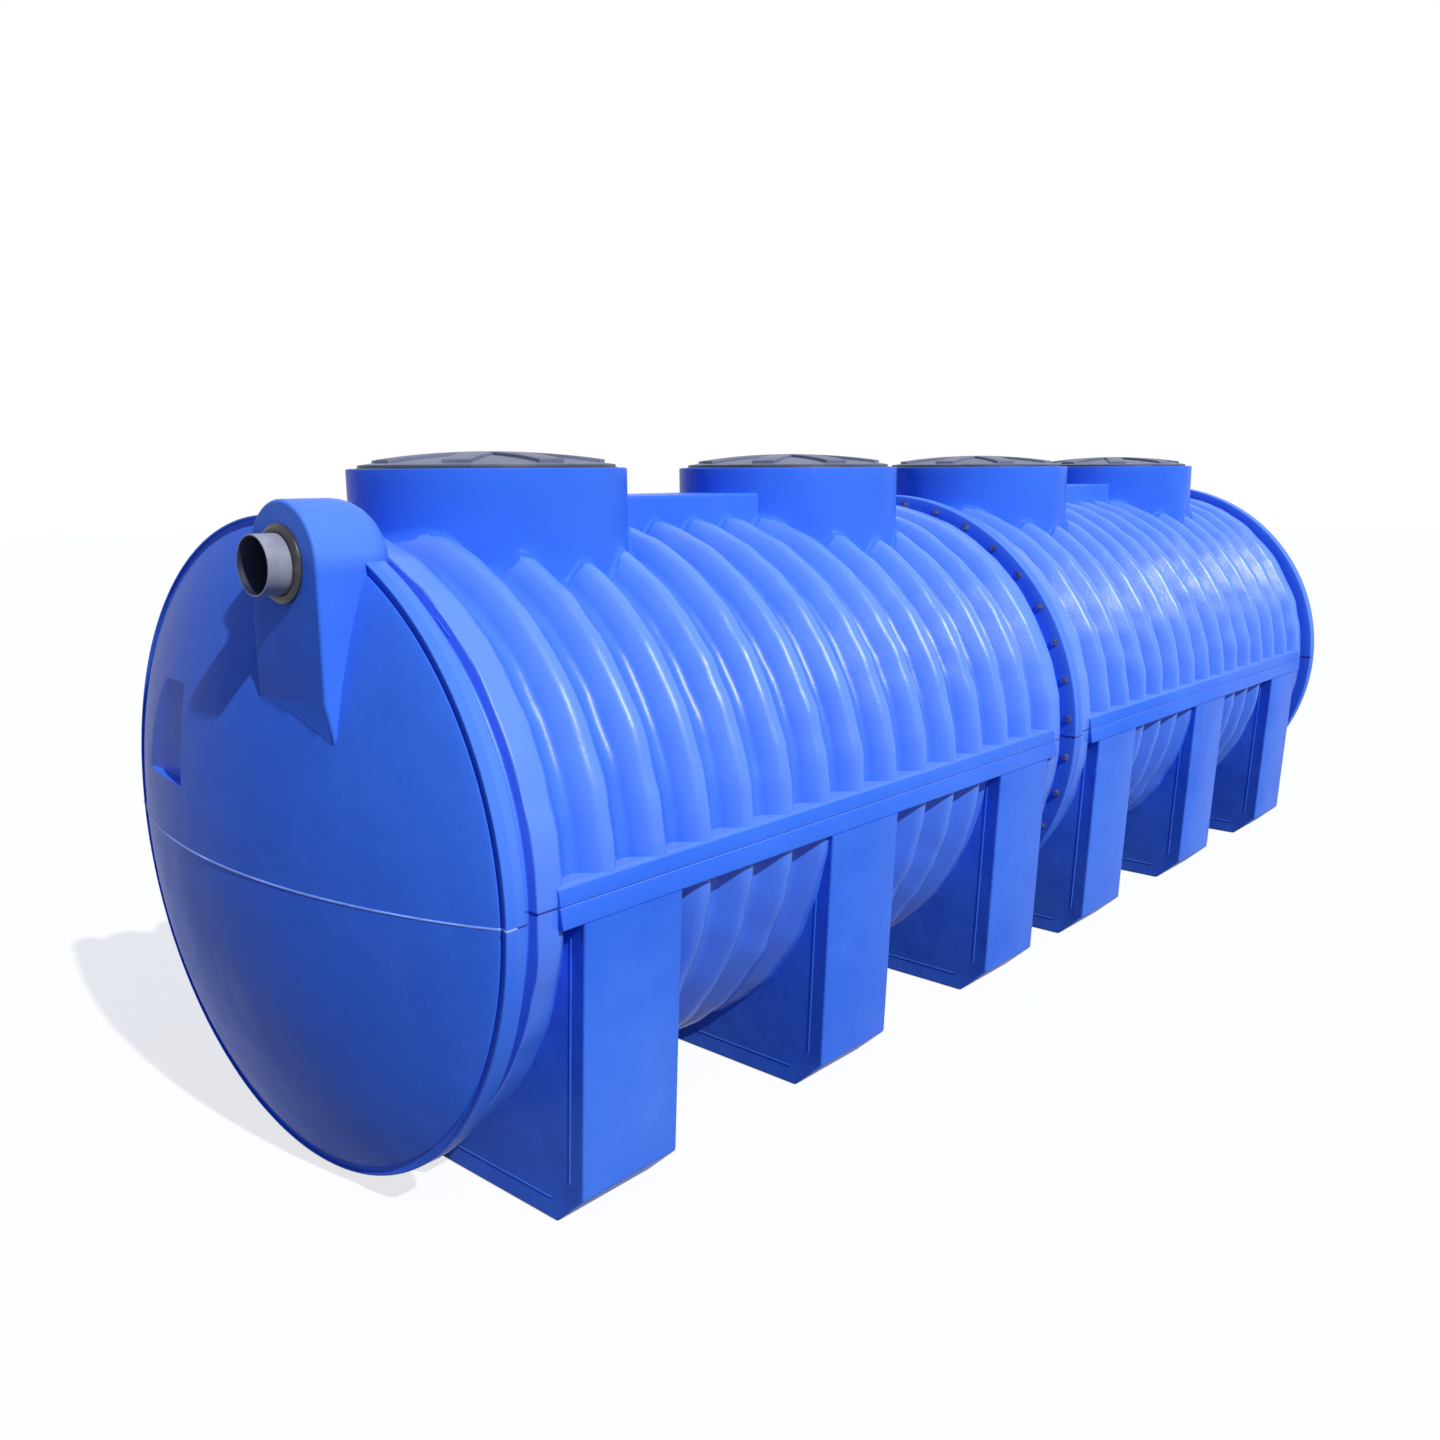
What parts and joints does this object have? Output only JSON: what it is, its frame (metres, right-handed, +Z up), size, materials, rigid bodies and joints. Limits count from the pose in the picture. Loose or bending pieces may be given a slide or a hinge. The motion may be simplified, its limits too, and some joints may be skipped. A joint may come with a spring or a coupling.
{
  "type": "horizontal septic tank",
  "caption": "Horizontal ribbed plastic septic tank on saddle legs, made of bolted modules with round manhole necks, ribbed lids and domed ends with pipe stubs.",
  "frame": {"origin": "on the ground, at the middle of the tank's footprint, in the plane where its two modules meet", "axes": "+X along the tank from its inlet end to its outlet end, +Z up, and +Y to the left of someone who looks along +X"},
  "size_m": [4.532, 1.35, 1.488],
  "materials": {
    "tank_plastic": "smooth moulded polyethylene with a soft gloss",
    "lid_plastic": "matt moulded plastic",
    "seal_rubber": "matt rubber",
    "pipe_plastic": "smooth extruded plastic"
  },
  "bodies": {
    "root": {"near_front_flange": "tank_plastic", "near_back_flange": "tank_plastic", "far_front_flange": "tank_plastic", "far_back_flange": "tank_plastic", "near_upper_shell": "tank_plastic", "near_lower_shell": "tank_plastic", "far_upper_shell": "tank_plastic", "far_lower_shell": "tank_plastic", "near_right_rail": "tank_plastic", "near_left_rail": "tank_plastic", "far_right_rail": "tank_plastic", "far_left_rail": "tank_plastic", "near_leg_1": "tank_plastic", "near_leg_2": "tank_plastic", "near_leg_3": "tank_plastic", "far_leg_1": "tank_plastic", "far_leg_2": "tank_plastic", "far_leg_3": "tank_plastic", "near_neck_1": "tank_plastic", "near_neck_2": "tank_plastic", "far_neck_1": "tank_plastic", "far_neck_2": "tank_plastic", "near_neck_bridge": "tank_plastic", "far_neck_bridge": "tank_plastic", "inlet_dome": "tank_plastic", "outlet_dome": "tank_plastic", "inlet_boss": "tank_plastic", "outlet_boss": "tank_plastic", "inlet_end_flange": "tank_plastic", "outlet_end_flange": "tank_plastic", "near_lid_1": "lid_plastic", "near_lid_2": "lid_plastic", "far_lid_1": "lid_plastic", "far_lid_2": "lid_plastic", "near_gasket_1": "seal_rubber", "near_gasket_2": "seal_rubber", "far_gasket_1": "seal_rubber", "far_gasket_2": "seal_rubber", "inlet_seal": "seal_rubber", "outlet_seal": "seal_rubber", "inlet_pipe": "pipe_plastic", "outlet_pipe": "pipe_plastic"}
  },
  "joints": []
}
